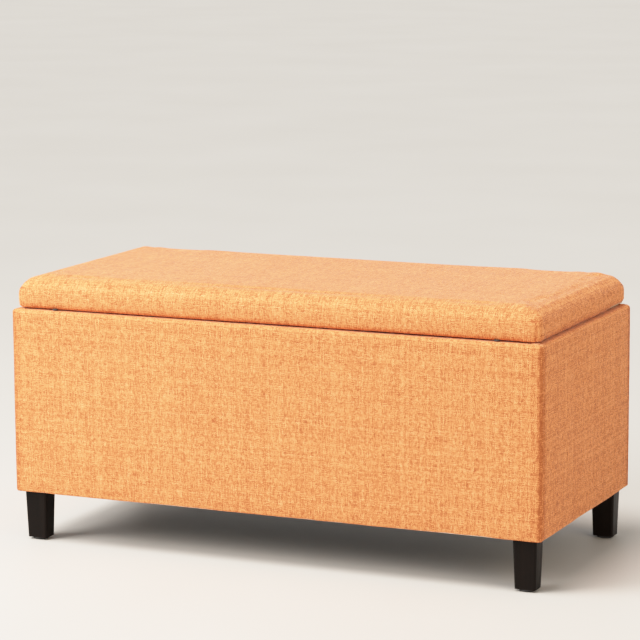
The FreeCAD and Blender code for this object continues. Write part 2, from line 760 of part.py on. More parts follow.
def socket(name, placement):
    """A ball socket: a barrel along X, bored from its outer side, and a shank along the strut."""
    half = "sizes.socketWidth / 2"
    barrel = cylinderAlongX(f"{name}_barrel", (f"-{half}", half), "0", "0", "sizes.socketRadius")
    shank = doc.addObject("Part::Cylinder", f"{name}_shank")
    shank.setExpression("Radius", "sizes.socketShankRadius")
    shank.setExpression("Height", "sizes.socketShankLength")
    ballSpace = "(sizes.ballRadius + sizes.strutGap)"
    hollow = cylinderAlongX(f"{name}_hollow", (f"-{ballSpace}", half), "0", "0", ballSpace)
    result = cut(name, fuse(f"{name}_blank", barrel, shank), hollow)
    result.Placement = placement
    return result


keepBothSides("strut_foot_socket", socket("strut_foot_socket_piece", footPlace))
keepBothSides("strut_head_socket", socket("strut_head_socket_piece", headPlace))

tubeStart = "sizes.socketShankLength"
tubeEnd = "(sizes.socketShankLength + sizes.tubeLength)"
tube = turned("strut_tube", [
    ("0", tubeStart),
    ("sizes.tubeRadius", tubeStart),
    ("sizes.tubeRadius", tubeEnd),
    ("sizes.tubeBoreRadius", tubeEnd),
    ("sizes.tubeBoreRadius", f"{tubeStart} + sizes.tubeEndThickness"),
    ("0", f"{tubeStart} + sizes.tubeEndThickness"),
])
tube.Placement = footPlace
keepBothSides("strut_cylinder", tube)

glandBore = "(sizes.strutRodRadius + sizes.strutGap)"
gland = turned("strut_gland", [
    (glandBore, f"{tubeEnd} - sizes.glandDepth"),
    ("sizes.tubeBoreRadius", f"{tubeEnd} - sizes.glandDepth"),
    ("sizes.tubeBoreRadius", tubeEnd),
    ("sizes.tubeRadius", tubeEnd),
    ("sizes.tubeRadius - sizes.glandChamfer", f"{tubeEnd} + sizes.glandLip"),
    (glandBore, f"{tubeEnd} + sizes.glandLip"),
])
gland.Placement = footPlace
keepBothSides("strut_gland_ring", gland)

rodEnd = "(sizes.socketShankLength + sizes.strutRodLength)"
strutRod = turned("strut_rod", [
    ("0", "sizes.socketShankLength"),
    ("sizes.strutRodRadius", "sizes.socketShankLength"),
    ("sizes.strutRodRadius", f"{rodEnd} - sizes.pistonThickness"),
    ("sizes.pistonRadius", f"{rodEnd} - sizes.pistonThickness"),
    ("sizes.pistonRadius", rodEnd),
    ("0", rodEnd),
])
strutRod.Placement = headPlace
keepBothSides("strut_piston_rod", strutRod)


def ballStud(name, x, y, z):
    """A ball on a neck that reaches outwards to x. y and z are numbers, x is an expression."""
    neck = cylinderAlongX(f"{name}_neck", ("sizes.strutX", x), f"{y}", f"{z}", "sizes.neckRadius")
    ball = doc.addObject("Part::Sphere", f"{name}_ball")
    ball.setExpression("Radius", "sizes.ballRadius")
    ball.Placement.Base = Vector(strutX, y, z)
    return neck, ball


boxPlate = block(
    "box_bracket_plate",
    (f"{cavityX} - sizes.bracketThickness", cavityX),
    (f"{footY} - sizes.bracketLength / 2", f"{footY} + sizes.bracketLength / 2"),
    (f"{footZ} - sizes.bracketHeight / 2", f"{footZ} + sizes.bracketHeight / 2"),
)
boxStud = ballStud("box_stud", f"{cavityX} - sizes.bracketThickness", footY, footZ)
boxBracketBlank = fuse("box_bracket_blank", boxPlate, *boxStud)
keepBothSides("strut_box_bracket", cut("strut_box_bracket", boxBracketBlank, boxBracketHoles))

plateTop = f"({lidBottom} - sizes.lidLiningThickness)"
lidPlate = block(
    "lid_bracket_plate",
    (f"{lidFlangeOuter} - sizes.bracketLength", lidFlangeOuter),
    (f"{headY} - sizes.bracketHeight / 2", f"{headY} + sizes.bracketHeight / 2"),
    (f"{plateTop} - sizes.bracketThickness", plateTop),
)
lidFlange = block(
    "lid_bracket_flange",
    (lidFlangeInner, lidFlangeOuter),
    (f"{headY} - sizes.bracketLength / 2", f"{headY} + sizes.bracketLength / 2"),
    (f"{headZ} - sizes.bracketLength / 3", plateTop),
)
lidStud = ballStud("lid_stud", lidFlangeInner, headY, headZ)
lidBracketBlank = fuse("lid_bracket_blank", lidPlate, lidFlange, *lidStud)
keepBothSides("strut_lid_bracket", cut("strut_lid_bracket", lidBracketBlank, lidBracketHoles))

# ---- check and write ---------------------------------------------------

doc.recompute()
for item in doc.Objects:
    if "Invalid" in item.State or "Error" in item.State:
        raise RuntimeError(f"{item.Name} failed: {item.State}")
os.makedirs("parts", exist_ok=True)
for node in nodes:
    if node.Shape.isNull() or not node.Shape.isValid():
        raise RuntimeError(f"{node.Label} has no valid shape")
    node.Shape.exportStep(f"parts/{node.Label}.step")
    print(f"{node.Label}: {len(node.Shape.Solids)} solids, {node.Shape.Volume:.0f} mm3")
print(f"{len(nodes)} sub-parts, strut {closedLength:.2f} mm long when closed")
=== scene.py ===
import json
import math
import random

import bmesh
import bpy
from mathutils import Matrix, Vector, noise


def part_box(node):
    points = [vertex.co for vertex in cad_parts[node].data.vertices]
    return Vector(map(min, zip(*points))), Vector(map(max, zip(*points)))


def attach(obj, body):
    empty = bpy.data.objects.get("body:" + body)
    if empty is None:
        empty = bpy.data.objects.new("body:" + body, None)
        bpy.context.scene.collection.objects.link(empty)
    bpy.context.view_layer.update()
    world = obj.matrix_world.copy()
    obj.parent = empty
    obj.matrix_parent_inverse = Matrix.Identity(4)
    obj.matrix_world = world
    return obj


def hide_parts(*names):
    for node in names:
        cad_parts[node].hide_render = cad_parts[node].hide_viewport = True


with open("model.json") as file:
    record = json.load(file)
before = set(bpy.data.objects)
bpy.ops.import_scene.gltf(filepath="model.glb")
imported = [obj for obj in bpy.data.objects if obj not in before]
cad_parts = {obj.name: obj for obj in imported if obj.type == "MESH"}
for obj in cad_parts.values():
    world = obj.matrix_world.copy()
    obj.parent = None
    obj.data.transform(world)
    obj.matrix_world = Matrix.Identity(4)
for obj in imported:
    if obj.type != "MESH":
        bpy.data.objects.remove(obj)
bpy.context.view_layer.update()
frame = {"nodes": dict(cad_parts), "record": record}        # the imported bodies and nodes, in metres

random.seed(11)
scene = bpy.context.scene
nodes = frame["nodes"]
mm = 0.001


# Small helpers for shader trees.

def put(tree, kind, inputs=None, **settings):
    node = tree.nodes.new("ShaderNode" + kind)
    for name, value in settings.items():
        setattr(node, name, value)
    for name, value in (inputs or {}).items():
        if isinstance(value, bpy.types.NodeSocket):
            tree.links.new(value, node.inputs[name])
        else:
            node.inputs[name].default_value = value
    return node


def calc(tree, operation, first, second=0.0, clamp=False):
    node = put(tree, "Math", {0: first, 1: second}, operation=operation, use_clamp=clamp)
    return node.outputs[0]


def mixColor(tree, share, first, second, blend="MIX"):
    node = put(tree, "Mix", {0: share, 6: first, 7: second}, data_type="RGBA", blend_type=blend)
    return node.outputs[2]


def mixValue(tree, share, first, second):
    return put(tree, "Mix", {0: share, 2: first, 3: second}, data_type="FLOAT").outputs[0]


def spread(tree, value, low, high, newLow=0.0, newHigh=1.0):
    node = put(tree, "MapRange", {0: value, 1: low, 2: high, 3: newLow, 4: newHigh}, clamp=True)
    return node.outputs[0]


def noiseAt(tree, place, scale, detail=2.0, roughness=0.5, dimensions="3D"):
    node = put(tree, "TexNoise", {"Vector": place, "Scale": scale, "Detail": detail, "Roughness": roughness},
               noise_dimensions=dimensions)
    return node.outputs[0]


def newGroup(name, inputs, outputs):
    group = bpy.data.node_groups.new(name, "ShaderNodeTree")
    for label, kind, value in inputs:
        socket = group.interface.new_socket(label, in_out="INPUT", socket_type="NodeSocket" + kind)
        if value is not None:
            socket.default_value = value
    for label, kind in outputs:
        group.interface.new_socket(label, in_out="OUTPUT", socket_type="NodeSocket" + kind)
    return group, group.nodes.new("NodeGroupInput").outputs, group.nodes.new("NodeGroupOutput")


def useGroup(tree, group, inputs):
    return put(tree, "Group", inputs, node_tree=group).outputs


def newMaterial(name, **shaderValues):
    material = bpy.data.materials.new(name)
    material.use_nodes = True
    tree = material.node_tree
    shader = tree.nodes["Principled BSDF"]
    for label, value in shaderValues.items():
        shader.inputs[label.replace("_", " ")].default_value = value
    return material, tree, shader


# The cover cloth: a plain weave of thick-and-thin yarns, each with its own tone.

weaveLook = {
    # how far yarns wander from straight, in yarns, and how often per metre
    "wander": 1.6,
    "wanderScale": 55.0,
    # thick places per metre, along the yarns of each direction
    "slubsPerMetre": (85.0, 130.0),
    # relief: the round of one yarn, its rise over another, and its thick places
    "crownHeight": 0.6,
    "overHeight": 0.35,
    "slubHeight": 1.6,
    # tone: each yarn's own, its thick places, faint patches, and where the middle lies
    "ownTone": 0.3,
    "slubTone": 2.0,
    "patchTone": 0.12,
    "patchScale": 26.0,
    "toneShift": 0.76,
    # painted shade: how dark the holes between yarns are made
    "paintedCreviceShade": 0.6,
}


def makeWeaveGroup():
    group, given, result = newGroup(
        "slubWeave",
        [("Place", "Vector", None), ("Pitch", "Float", 0.0016), ("Slub", "Float", 1.0),
         ("Light", "Color", (1, 1, 1, 1)), ("Middle", "Color", (0.5, 0.5, 0.5, 1)),
         ("Deep", "Color", (0.2, 0.2, 0.2, 1)), ("Shade", "Float", 0.0)],
        [("Color", "Color"), ("Height", "Float"), ("Roughness", "Float")],
    )
    place = put(group, "SeparateXYZ", {0: given["Place"]}).outputs
    wander = put(group, "TexNoise", {"Vector": given["Place"], "Scale": weaveLook["wanderScale"], "Detail": 1.0},
                 noise_dimensions="2D").outputs[1]
    wanderXyz = put(group, "SeparateXYZ", {0: wander}).outputs
    yarns = []
    for axis in (0, 1):
        bend = calc(group, "MULTIPLY", calc(group, "SUBTRACT", wanderXyz[axis], 0.5), weaveLook["wander"])
        yarns.append(calc(group, "ADD", calc(group, "DIVIDE", place[axis], given["Pitch"]), bend))
    number = [calc(group, "FLOOR", yarn) for yarn in yarns]
    crown = [calc(group, "SINE", calc(group, "MULTIPLY", calc(group, "FRACT", yarn), math.pi)) for yarn in yarns]
    parity = calc(group, "FLOORED_MODULO", calc(group, "ADD", number[0], number[1]), 2.0)
    over = calc(group, "SUBTRACT", 1.0, calc(group, "MULTIPLY", parity, 2.0))
    tones = []
    heights = []
    for axis, other, sign in ((0, 1, 1.0), (1, 0, -1.0)):
        own = put(group, "TexWhiteNoise", {"W": calc(group, "ADD", number[axis], 37.0 * axis)},
                  noise_dimensions="1D").outputs[0]
        along = put(group, "CombineXYZ", {
            0: calc(group, "MULTIPLY", number[axis], 3.7),
            1: calc(group, "MULTIPLY", place[other], weaveLook["slubsPerMetre"][axis]),
            2: 9.0 * axis,
        }).outputs[0]
        slub = noiseAt(group, along, 1.0, 3.0, 0.7)
        fat = calc(group, "MULTIPLY", calc(group, "SUBTRACT", slub, 0.5), given["Slub"])
        rise = calc(group, "MULTIPLY", crown[other], over)
        rise = calc(group, "MULTIPLY", rise, weaveLook["overHeight"] * sign)
        height = calc(group, "ADD", calc(group, "MULTIPLY", crown[axis], weaveLook["crownHeight"]), rise)
        heights.append(calc(group, "ADD", height, calc(group, "MULTIPLY", fat, weaveLook["slubHeight"])))
        ownTone = calc(group, "MULTIPLY", own, weaveLook["ownTone"])
        tone = calc(group, "ADD", ownTone, calc(group, "MULTIPLY", slub, weaveLook["slubTone"]))
        tones.append(calc(group, "SUBTRACT", tone, weaveLook["toneShift"]))
    warpOnTop = calc(group, "GREATER_THAN", heights[0], heights[1])
    top = calc(group, "MAXIMUM", heights[0], heights[1])
    tone = mixValue(group, warpOnTop, tones[1], tones[0])
    patch = noiseAt(group, given["Place"], weaveLook["patchScale"], 3.0, 0.6, "2D")
    patchTone = calc(group, "MULTIPLY", calc(group, "SUBTRACT", patch, 0.5), weaveLook["patchTone"])
    tone = calc(group, "ADD", tone, patchTone)
    # Painted shade from the cloth's shade attribute darkens the tone here.
    tone = calc(group, "SUBTRACT", tone, given["Shade"], clamp=True)
    low = mixColor(group, spread(group, tone, 0.1, 0.5), given["Deep"], given["Middle"])
    color = mixColor(group, spread(group, tone, 0.5, 0.9), low, given["Light"])
    # Painted shade: the colour is darkened where the yarns lie low, in the holes between them.
    yarnGapShade = spread(group, top, 0.15, 0.75, weaveLook["paintedCreviceShade"], 1.0)
    yarnGapShade = put(group, "CombineColor", {0: yarnGapShade, 1: yarnGapShade, 2: yarnGapShade}).outputs[0]
    color = mixColor(group, 1.0, color, yarnGapShade, "MULTIPLY")
    group.links.new(color, result.inputs["Color"])
    group.links.new(top, result.inputs["Height"])
    group.links.new(spread(group, tone, 0.0, 1.0, 0.95, 0.82), result.inputs["Roughness"])
    return group


# Pale rubbed edges and fine dust, as masks.

def makeWearGroup():
    group, given, result = newGroup(
        "rubbedEdges",
        [("Place", "Vector", None), ("Width", "Float", 0.0015), ("Amount", "Float", 0.5)],
        [("Edges", "Float"), ("Dust", "Float")],
    )
    bevel = put(group, "Bevel", {"Radius": given["Width"]}, samples=4)
    normal = put(group, "NewGeometry").outputs["Normal"]
    facing = put(group, "VectorMath", {0: bevel.outputs[0], 1: normal}, operation="DOT_PRODUCT").outputs["Value"]
    edge = spread(group, facing, 0.995, 0.86)
    broken = spread(group, noiseAt(group, given["Place"], 140.0, 4.0, 0.6), 0.42, 0.68)
    edges = calc(group, "MULTIPLY", calc(group, "MULTIPLY", edge, broken), given["Amount"], clamp=True)
    up = put(group, "SeparateXYZ", {0: normal}).outputs[2]
    dust = calc(group, "MULTIPLY", spread(group, up, 0.2, 1.0),
                spread(group, noiseAt(group, given["Place"], 60.0, 5.0, 0.65), 0.4, 0.75), clamp=True)
    group.links.new(edges, result.inputs["Edges"])
    group.links.new(dust, result.inputs["Dust"])
    return group


# Wood grain. The place it is given is squeezed along the way the grain runs.

def makeGrainGroup():
    group, given, result = newGroup(
        "woodGrain",
        [("Place", "Vector", None), ("Light", "Color", (1, 1, 1, 1)), ("Dark", "Color", (0, 0, 0, 1)),
         ("Fine", "Float", 1.0)],
        [("Color", "Color"), ("Height", "Float")],
    )
    rings = noiseAt(group, given["Place"], 14.0, 3.0, 0.5)
    fibres = noiseAt(group, given["Place"], 130.0, 4.0, 0.65)
    share = calc(group, "ADD", calc(group, "MULTIPLY", rings, 0.6), calc(group, "MULTIPLY", fibres, 0.4))
    color = mixColor(group, spread(group, share, 0.35, 0.65), given["Dark"], given["Light"])
    group.links.new(color, result.inputs["Color"])
    group.links.new(calc(group, "MULTIPLY", fibres, given["Fine"]), result.inputs["Height"])
    return group


weaveGroup = makeWeaveGroup()
wearGroup = makeWearGroup()
grainGroup = makeGrainGroup()


def addBump(tree, shader, height, distance, strength=1.0):
    bump = put(tree, "Bump", {"Strength": strength, "Distance": distance, "Height": height})
    tree.links.new(bump.outputs[0], shader.inputs["Normal"])


def objectPlace(tree, scale=(1, 1, 1)):
    place = put(tree, "TexCoord").outputs["Object"]
    return put(tree, "Mapping", {0: place, 3: scale}).outputs[0]


coverCloth = {
    "pitch": 1.6 * mm,
    "light": (1.0, 0.42, 0.175, 1),
    "middle": (0.85, 0.285, 0.098, 1),
    "deep": (0.44, 0.115, 0.036, 1),
    "yarnHeight": 0.35 * mm,
    "slub": 1.0,
}


def makeCoverCloth():
    material, tree, shader = newMaterial("coverCloth", Roughness=0.9, Specular_IOR_Level=0.2, Sheen_Weight=0.26,
                                         Sheen_Roughness=0.2)
    place = put(tree, "UVMap", uv_map="weave").outputs[0]
    # Painted shade on the cover's corners and seams, and on the lid's pleats and lower edge.
    shade = put(tree, "Attribute", attribute_name="paintedClothShade").outputs["Fac"]
    weave = useGroup(tree, weaveGroup, {
        "Place": place,
        "Pitch": coverCloth["pitch"],
        "Slub": coverCloth["slub"],
        "Light": coverCloth["light"],
        "Middle": coverCloth["middle"],
        "Deep": coverCloth["deep"],
        "Shade": shade,
    })
    tree.links.new(weave["Color"], shader.inputs["Base Color"])
    tree.links.new(weave["Roughness"], shader.inputs["Roughness"])
    addBump(tree, shader, weave["Height"], coverCloth["yarnHeight"], 0.8)
    return material


# Black non-woven lining: short random fibres with a pressed dot pattern.

def makeFeltCloth():
    material, tree, shader = newMaterial("liningCloth", Roughness=0.85, Sheen_Weight=0.15)
    place = objectPlace(tree)
    fibres = noiseAt(tree, place, 900.0, 3.0, 0.7)
    clouds = noiseAt(tree, place, 45.0, 4.0, 0.6)
    dots = put(tree, "TexVoronoi", {"Vector": place, "Scale": 420.0, "Randomness": 0.15}).outputs["Distance"]
    pressed = spread(tree, dots, 0.18, 0.34)
    share = calc(tree, "ADD", calc(tree, "MULTIPLY", fibres, 0.5), calc(tree, "MULTIPLY", clouds, 0.5))
    color = mixColor(tree, spread(tree, share, 0.3, 0.7), (0.008, 0.008, 0.010, 1), (0.035, 0.035, 0.038, 1))
    tree.links.new(color, shader.inputs["Base Color"])
    tree.links.new(spread(tree, fibres, 0.3, 0.7, 0.7, 0.95), shader.inputs["Roughness"])
    height = calc(tree, "ADD", calc(tree, "MULTIPLY", pressed, 0.6), calc(tree, "MULTIPLY", fibres, 0.4))
    addBump(tree, shader, height, 0.25 * mm, 0.7)
    return material


def makeLegWood():
    material, tree, shader = newMaterial("blackLegWood", Roughness=0.35, Specular_IOR_Level=0.07, Coat_Weight=0.02,
                                         Coat_Roughness=0.25)
    grain = useGroup(tree, grainGroup, {
        "Place": objectPlace(tree, (1, 1, 0.06)),
        "Light": (0.009, 0.0055, 0.004, 1),
        "Dark": (0.003, 0.002, 0.0016, 1),
        "Fine": 1.0,
    })
    wear = useGroup(tree, wearGroup, {"Place": objectPlace(tree), "Width": 1.6 * mm, "Amount": 0.35})
    color = mixColor(tree, wear["Edges"], grain["Color"], (0.075, 0.045, 0.03, 1))
    color = mixColor(tree, calc(tree, "MULTIPLY", wear["Dust"], 0.02), color, (0.3, 0.27, 0.24, 1))
    tree.links.new(color, shader.inputs["Base Color"])
    rough = noiseAt(tree, objectPlace(tree, (1, 1, 0.3)), 70.0, 4.0, 0.6)
    tree.links.new(spread(tree, rough, 0.3, 0.7, 0.28, 0.46), shader.inputs["Roughness"])
    addBump(tree, shader, grain["Height"], 0.12 * mm, 0.5)
    return material


def makeRawWood(name, light, dark, along):
    material, tree, shader = newMaterial(name, Roughness=0.7)
    grain = useGroup(tree, grainGroup, {"Place": objectPlace(tree, along), "Light": light, "Dark": dark, "Fine": 1.0})
    tree.links.new(grain["Color"], shader.inputs["Base Color"])
    addBump(tree, shader, grain["Height"], 0.15 * mm, 0.6)
    return material


# Plated or painted steel with a brushed or cloudy finish and rubbed edges.

def makeMetal(name, color, rough, brush, worn=(0.8, 0.8, 0.78, 1), metallic=1.0, amount=0.5):
    material, tree, shader = newMaterial(name, Metallic=metallic)
    streaks = noiseAt(tree, objectPlace(tree, brush), 600.0, 3.0, 0.6)
    clouds = noiseAt(tree, objectPlace(tree), 120.0, 4.0, 0.6)
    wear = useGroup(tree, wearGroup, {"Place": objectPlace(tree), "Width": 0.6 * mm, "Amount": amount})
    dark = tuple(0.8 * channel for channel in color[:3]) + (1,)
    base = mixColor(tree, spread(tree, clouds, 0.3, 0.7), dark, color)
    tree.links.new(mixColor(tree, wear["Edges"], base, worn), shader.inputs["Base Color"])
    share = calc(tree, "ADD", calc(tree, "MULTIPLY", streaks, 0.5), calc(tree, "MULTIPLY", clouds, 0.5))
    tree.links.new(spread(tree, share, 0.3, 0.7, rough * 0.8, rough * 1.25), shader.inputs["Roughness"])
    addBump(tree, shader, streaks, 0.02 * mm, 0.5)
    return material


# Moulded plastic or rubber with a fine spark-eroded texture.

def makeMoulded(name, color, rough, grain):
    material, tree, shader = newMaterial(name, Roughness=rough)
    texture = noiseAt(tree, objectPlace(tree), grain, 3.0, 0.6)
    clouds = noiseAt(tree, objectPlace(tree), 80.0, 4.0, 0.6)
    wear = useGroup(tree, wearGroup, {"Place": objectPlace(tree), "Width": 0.8 * mm, "Amount": 0.4})
    pale = tuple(min(1.0, 1.6 * channel + 0.02) for channel in color[:3]) + (1,)
    base = mixColor(tree, calc(tree, "MULTIPLY", clouds, 0.35), color, pale)
    tree.links.new(mixColor(tree, wear["Edges"], base, pale), shader.inputs["Base Color"])
    tree.links.new(spread(tree, clouds, 0.3, 0.7, rough * 0.85, rough * 1.15), shader.inputs["Roughness"])
    addBump(tree, shader, texture, 0.05 * mm, 0.5)
    return material


def makeFoam():
    material, tree, shader = newMaterial("creamFoam", Roughness=0.95)
    place = objectPlace(tree)
    cells = put(tree, "TexVoronoi", {"Vector": place, "Scale": 700.0}).outputs["Distance"]
    clouds = noiseAt(tree, place, 25.0, 4.0, 0.6)
    color = mixColor(tree, spread(tree, clouds, 0.3, 0.7), (0.72, 0.66, 0.5, 1), (0.82, 0.78, 0.64, 1))
    tree.links.new(color, shader.inputs["Base Color"])
    addBump(tree, shader, cells, 0.5 * mm, 0.6)
    return material


clothMaterial = makeCoverCloth()
liningMaterial = makeFeltCloth()
zincMaterial = makeMetal("zincSteel", (0.62, 0.63, 0.64, 1), 0.33, (1, 0.08, 1))
finishes = {
    "leg_wood": makeLegWood(),
    "board": makeRawWood("panelBoard", (0.62, 0.46, 0.29, 1), (0.44, 0.31, 0.18, 1), (0.12, 1, 1)),
    "rail_wood": makeRawWood("railWood", (0.7, 0.53, 0.33, 1), (0.52, 0.36, 0.2, 1), (0.1, 1, 1)),
    "padding": makeFoam(),
    "zinc_steel": zincMaterial,
    "chrome_rod": makeMetal("chromedRod", (0.8, 0.81, 0.83, 1), 0.09, (1, 1, 1), amount=0.1),
    "black_steel": makeMetal("blackPaintedTube", (0.012, 0.012, 0.013, 1), 0.3, (1, 1, 1),
                             worn=(0.2, 0.2, 0.2, 1), metallic=0.2, amount=0.4),
    "black_plastic": makeMoulded("blackPlastic", (0.018, 0.018, 0.02, 1), 0.5, 900.0),
    "glide_plastic": makeMoulded("glidePlastic", (0.012, 0.011, 0.011, 1), 0.55, 700.0),
    "rubber": makeMoulded("greyRubber", (0.035, 0.033, 0.032, 1), 0.75, 500.0),
    "cover_fabric": clothMaterial,
    "lining_cloth": liningMaterial,
}
for subpart in frame["record"]["subparts"]:
    part = nodes[subpart["node"]]
    for materialSlot in part.material_slots:
        materialSlot.material = finishes[subpart["material_slot"]]
print("materials made")


# Mesh helpers.

# Turns a bmesh into a finished object that rides on a body.

def newPiece(name, mesh, material, body, replaced=()):
    data = bpy.data.meshes.new(name)
    mesh.to_mesh(data)
    mesh.free()
    piece = bpy.data.objects.new(name, data)
    scene.collection.objects.link(piece)
    data.materials.append(material)
    data.shade_smooth()
    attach(piece, body)
    if replaced:
        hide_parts(*replaced)
    return piece


def boxMesh(low, high):
    mesh = bmesh.new()
    bmesh.ops.create_cube(mesh, size=1.0)
    size = Vector(high) - Vector(low)
    middle = (Vector(high) + Vector(low)) / 2
    bmesh.ops.scale(mesh, vec=size, verts=mesh.verts)
    bmesh.ops.translate(mesh, vec=middle, verts=mesh.verts)
    return mesh


def roundEdges(mesh, wanted, radius, segments):
    edges = [edge for edge in mesh.edges if wanted(edge)]
    bmesh.ops.bevel(mesh, geom=edges, offset=radius, offset_type="OFFSET", affect="EDGES", segments=segments,
                    profile=0.5, material=-1, clamp_overlap=False)


def upright(edge):
    along = (edge.verts[1].co - edge.verts[0].co).normalized()
    return abs(along.z) > 0.9


def levelAt(height):
    return lambda edge: all(abs(vert.co.z - height) < 1e-5 for vert in edge.verts)


# Cuts a mesh through with planes across an axis, which gives it loops to bend at.

def sliceAt(mesh, axis, places):
    normal = Vector([1.0 if axis == index else 0.0 for index in range(3)])
    for place in places:
        geometry = mesh.verts[:] + mesh.edges[:] + mesh.faces[:]
        bmesh.ops.bisect_plane(mesh, geom=geometry, dist=1e-6, plane_co=normal * place, plane_no=normal)


def steps(low, high, spacing):
    count = max(1, round((high - low) / spacing))
    return [low + (high - low) * number / count for number in range(1, count)]


# The biggest face that looks along a normal at a height.

def faceNearest(mesh, normal, height):
    found = [face for face in mesh.faces
             if face.normal.dot(normal) > 0.99 and abs(face.calc_center_median().z - height) < 1e-4]
    return max(found, key=lambda face: face.calc_area())


# Smooth noise between about -1 and 1, over a length of 1 / scale metres.

def wave(x, y, z, scale, seed):
    return noise.noise(Vector((x * scale + seed, y * scale - seed, z * scale + 2 * seed)))


# 1 at zero, down to 0 at a distance of reach, smoothly.

def fade(value, reach):
    share = max(0.0, 1.0 - abs(value) / reach)
    return share * share * (3 - 2 * share)


# The box's cover.

coverLow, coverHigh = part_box("front_cover")
halfX = coverHigh.x
halfY = -coverLow.y
hemZ = coverLow.z
rimZ = coverHigh.z
boxCover = {
    "cornerRadius": 8 * mm,
    "rimRadius": 6 * mm,
    "hemRadius": 3.5 * mm,
    "rimWidth": 21.4 * mm,
    "flapDrop": 30 * mm,
    "hemWidth": 34 * mm,
    "seamSetback": 10 * mm,
    "loopSpacing": 11 * mm,
    "clothThickness": 1.1 * mm,
    "bulge": 1.6 * mm,
    "sway": 0.7 * mm,
    "hemWave": 1.3 * mm,
    "seamDepth": 0.7 * mm,
    "edgeBand": 9 * mm,
    # the weave starts afresh on the ends and on the back
    "endWeaveShift": 3.1,
    "backWeaveShift": 7.3,
    # soft creases in the front: the top of each, its foot, and how deep it is
    "creases": (
        ((-0.134, 0.262), (-0.163, 0.175), 0.7 * mm),
        ((0.190, 0.315), (0.150, 0.195), 0.6 * mm),
        ((0.368, 0.322), (0.276, 0.205), 0.45 * mm),
    ),
}


# The whole cover as one surface: underside hem, outer faces, rim, and the flap down inside.

def makeCoverSleeve():
    mesh = boxMesh((-halfX, -halfY, hemZ), (halfX, halfY, rimZ))
    roundEdges(mesh, upright, boxCover["cornerRadius"], 6)
    roundEdges(mesh, levelAt(rimZ), boxCover["rimRadius"], 5)
    roundEdges(mesh, levelAt(hemZ), boxCover["hemRadius"], 3)
    mesh.normal_update()
    top = faceNearest(mesh, Vector((0, 0, 1)), rimZ)
    inset = boxCover["rimWidth"] - boxCover["rimRadius"]
    bmesh.ops.inset_region(mesh, faces=[top], thickness=inset, use_even_offset=True)
    deepest = bmesh.ops.extrude_face_region(mesh, geom=[top])["geom"]
    sunk = [item for item in deepest if isinstance(item, bmesh.types.BMVert)]
    bmesh.ops.translate(mesh, vec=(0, 0, -boxCover["flapDrop"]), verts=sunk)
    lids = [item for item in deepest if isinstance(item, bmesh.types.BMFace)]
    bmesh.ops.delete(mesh, geom=lids + [top], context="FACES")
    mesh.normal_update()
    under = faceNearest(mesh, Vector((0, 0, -1)), hemZ)
    bmesh.ops.inset_region(mesh, faces=[under], thickness=boxCover["hemWidth"] - boxCover["hemRadius"],
                           use_even_offset=True)
    bmesh.ops.delete(mesh, geom=[under], context="FACES")
    return mesh


sleeve = makeCoverSleeve()
seamY = halfY - boxCover["seamSetback"]
innerRimX = halfX - boxCover["rimWidth"]
innerRimY = halfY - boxCover["rimWidth"]
outerX = halfX - boxCover["edgeBand"]
outerY = halfY - boxCover["edgeBand"]
sliceAt(sleeve, 0, steps(-outerX, outerX, boxCover["loopSpacing"]))
sliceAt(sleeve, 1, steps(-seamY, seamY, boxCover["loopSpacing"]))
sliceAt(sleeve, 2, steps(hemZ + 0.004, rimZ - 0.0065, boxCover["loopSpacing"]))
for sideY in (-1, 1):
    sliceAt(sleeve, 1, [sideY * (seamY + offset * mm) for offset in (-4, -1.6, -0.5, 0, 0.5, 1.6)])
print("cover sleeve cut:", len(sleeve.faces), "faces")


# The length over a rounded edge, down to a drop below its top.

def arcLength(drop, radius):
    if drop >= radius:
        return radius * math.pi / 2 + drop - radius
    return radius * math.acos(max(-1.0, 1 - drop / radius))


# Weave place on the box: yarns run round the front, over the rim and down inside.

def bodyUv(point, normal):
    height = point.z if normal.z < 0.7 else rimZ + halfY - abs(point.y)
    if abs(point.x) < innerRimX + 0.0005 and abs(point.y) < innerRimY + 0.0005:
        height = rimZ + 0.05 - point.z
    if normal.z < -0.7:
        height = hemZ - (halfY - abs(point.y))
    radius = boxCover["cornerRadius"]
    onEnd = abs(point.y) < seamY and abs(point.x) > innerRimX - 0.0005
    if onEnd:
        if normal.z > 0.7:
            height = rimZ + halfX - abs(point.x)
        if normal.z < -0.7:
            height = hemZ - (halfX - abs(point.x))
        return boxCover["endWeaveShift"] * math.copysign(1, point.x) + point.y, height
    across = point.x
    if abs(point.x) > halfX - radius:
        angle = math.atan2(abs(point.x) - (halfX - radius), abs(point.y) - (halfY - radius))
        along = halfX - radius + radius * min(math.pi / 2, max(0.0, angle))
        if abs(point.y) < halfY - radius:
            along = halfX - radius + radius * math.pi / 2 + halfY - radius - abs(point.y)
        across = math.copysign(along, point.x)
    return across + (boxCover["backWeaveShift"] if point.y > 0 else 0.0), height


# Painted shade: the cloth is darkened over its rounded corners, where the light falls off, and along its seams; the
# stripes stand for the yarns drawn tight round the corner.

def bodyShade(point):
    if abs(point.x) < outerX or abs(point.y) < seamY - 4 * mm or point.z > rimZ - 4 * mm:
        return 0.0
    aroundCorner = (halfX - abs(point.x)) - (halfY - abs(point.y))
    stripe = 0.5 + 0.5 * math.cos(2 * math.pi * aroundCorner / (3.3 * mm))
    return 0.1 + 0.16 * stripe + 0.15 * fade(abs(point.y) - seamY, 2 * mm)


# How deep a crease is at a point on the front: steep on one side, and dying away at its ends.

def creaseDepth(x, z):
    total = 0.0
    for (topX, topZ), (footX, footZ), depth in boxCover["creases"]:
        along = (topZ - z) / (topZ - footZ)
        if not 0 < along < 1:
            continue
        behind = x - (topX + (footX - topX) * along) + 1.5 * mm * wave(0, 0, z, 40, topX)
        slope = math.exp(-behind / 0.018) if behind > 0 else math.exp(behind / 0.005)
        total += depth * slope * math.sin(math.pi * along)
    return total


# Padding, slack and pull in the cover, as a move of one point.

